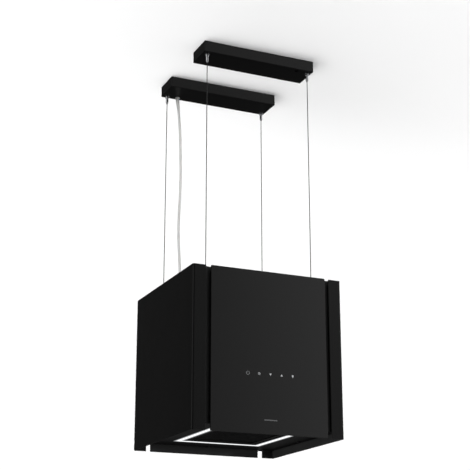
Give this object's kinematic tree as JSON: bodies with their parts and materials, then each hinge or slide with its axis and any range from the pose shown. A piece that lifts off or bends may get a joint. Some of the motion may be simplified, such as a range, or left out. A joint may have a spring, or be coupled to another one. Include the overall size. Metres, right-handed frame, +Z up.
{
  "type": "island range hood",
  "caption": "Cube island range hood with black steel shells and glass front, square light ring and drop-down grease filter, hung on steel ropes from twin ceiling bars.",
  "frame": {"origin": "on the ceiling plane, at the centre of the rectangle of the four ceiling screws", "axes": "+Z up into the ceiling, +X along the hood's front from its left to its right, the glass front with the keys faces -Y"},
  "size_m": [0.38, 0.3854, 0.964],
  "materials": {
    "black_steel": "satin black powder coat",
    "black_glass": "black back-painted tempered glass, semi-gloss",
    "chrome": "polished chrome",
    "steel_rope": "galvanised steel rope",
    "galvanised_steel": "zinc-plated sheet",
    "screw_black": "black zinc",
    "steel": "machined steel",
    "cable_grey": "light grey PVC sheath",
    "white_plastic": "white polyamide",
    "black_plastic": "moulded black ABS",
    "opal_diffuser": "opal acrylic, lit from behind",
    "aluminium_mesh": "black anodised aluminium mesh",
    "silver_print": "silver print",
    "white_light": "lit white symbol",
    "circuit_board": "green solder mask",
    "carbon": "activated carbon in a black plastic cassette",
    "rubber": "black rubber",
    "copper_winding": "enamelled copper on laminated steel",
    "magnet": "nickel-plated magnet",
    "capacitor_grey": "grey plastic can"
  },
  "bodies": {
    "ceiling_mount": {"ceiling_bracket_front": "galvanised_steel", "ceiling_bracket_rear": "galvanised_steel", "ceiling_cover_front": "black_steel", "ceiling_cover_rear": "black_steel", "rope_couplers": "chrome", "coupler_nuts": "steel", "rope_front_left": "steel_rope", "rope_front_right": "steel_rope", "rope_rear_left": "steel_rope", "rope_rear_right": "steel_rope", "rope_end_stops": "steel", "terminal_block": "white_plastic", "cable_bush": "cable_grey", "power_cable": "cable_grey"},
    "hood": {"left_shell": "black_steel", "right_shell": "black_steel", "shell_spacers": "galvanised_steel", "case_screws": "screw_black", "inner_housing": "black_steel", "top_plate": "black_steel", "outlet_grille": "black_plastic", "front_glass": "black_glass", "rear_panel": "black_glass", "front_carrier": "black_steel", "rear_carrier": "black_steel", "touch_key_symbols": "white_light", "badge_dash": "silver_print", "touch_board": "circuit_board", "underside_plate": "black_steel", "led_channel": "black_steel", "led_boards": "circuit_board", "led_diffuser": "opal_diffuser", "filter_magnets": "magnet", "scroll_left": "black_plastic", "scroll_right": "black_plastic", "outlet_duct": "black_plastic", "blower_screws": "screw_black", "motor_housing": "galvanised_steel", "motor_bearings": "steel", "motor_stator": "copper_winding", "motor_bracket": "galvanised_steel", "motor_rubber_mounts": "rubber", "control_box": "black_plastic", "motor_capacitor": "capacitor_grey", "wiring_loom": "cable_grey", "gripper_bodies": "chrome", "gripper_springs": "steel", "cable_gland": "black_plastic"},
    "impeller": {"impeller": "black_plastic", "motor_shaft": "steel", "motor_rotor": "steel"},
    "grease_filter": {"filter_frame": "black_steel", "filter_mesh": "aluminium_mesh", "filter_pivot_pins": "steel"},
    "carbon_left": {"carbon_filter_left": "carbon"},
    "carbon_right": {"carbon_filter_right": "carbon"},
    "plunger_front_left": {"gripper_plunger_front_left": "chrome"},
    "plunger_front_right": {"gripper_plunger_front_right": "chrome"},
    "plunger_rear_left": {"gripper_plunger_rear_left": "chrome"},
    "plunger_rear_right": {"gripper_plunger_rear_right": "chrome"}
  },
  "joints": [
    {"name": "height_adjust", "type": "slide", "parent": "ceiling_mount", "child": "hood", "axis": [0, 0, 1], "range_m": [-0.12, 0.15], "deforming": ["power_cable"]},
    {"name": "fan_spin", "type": "hinge", "parent": "hood", "child": "impeller", "pos_m": [0, -0.072, -0.79], "axis": [1, 0, 0], "continuous": true},
    {"name": "grease_filter_drop", "type": "hinge", "parent": "hood", "child": "grease_filter", "pos_m": [0, 0.086, -0.9412], "axis": [1, 0, 0], "range_deg": [0, 80]},
    {"name": "carbon_filter_left_twist", "type": "hinge", "parent": "hood", "child": "carbon_left", "pos_m": [-0.07, -0.072, -0.79], "axis": [-1, 0, 0], "range_deg": [0, 60]},
    {"name": "carbon_filter_right_twist", "type": "hinge", "parent": "hood", "child": "carbon_right", "pos_m": [0.07, -0.072, -0.79], "axis": [1, 0, 0], "range_deg": [0, 60]},
    {"name": "gripper_front_left_release", "type": "slide", "parent": "hood", "child": "plunger_front_left", "axis": [0, 0, -1], "range_m": [0, 0.002], "stiffness_N_per_m": 1500, "springref_m": -0.002, "deforming": ["gripper_springs"]},
    {"name": "gripper_front_right_release", "type": "slide", "parent": "hood", "child": "plunger_front_right", "axis": [0, 0, -1], "range_m": [0, 0.002], "stiffness_N_per_m": 1500, "springref_m": -0.002, "deforming": ["gripper_springs"]},
    {"name": "gripper_rear_left_release", "type": "slide", "parent": "hood", "child": "plunger_rear_left", "axis": [0, 0, -1], "range_m": [0, 0.002], "stiffness_N_per_m": 1500, "springref_m": -0.002, "deforming": ["gripper_springs"]},
    {"name": "gripper_rear_right_release", "type": "slide", "parent": "hood", "child": "plunger_rear_right", "axis": [0, 0, -1], "range_m": [0, 0.002], "stiffness_N_per_m": 1500, "springref_m": -0.002, "deforming": ["gripper_springs"]}
  ]
}
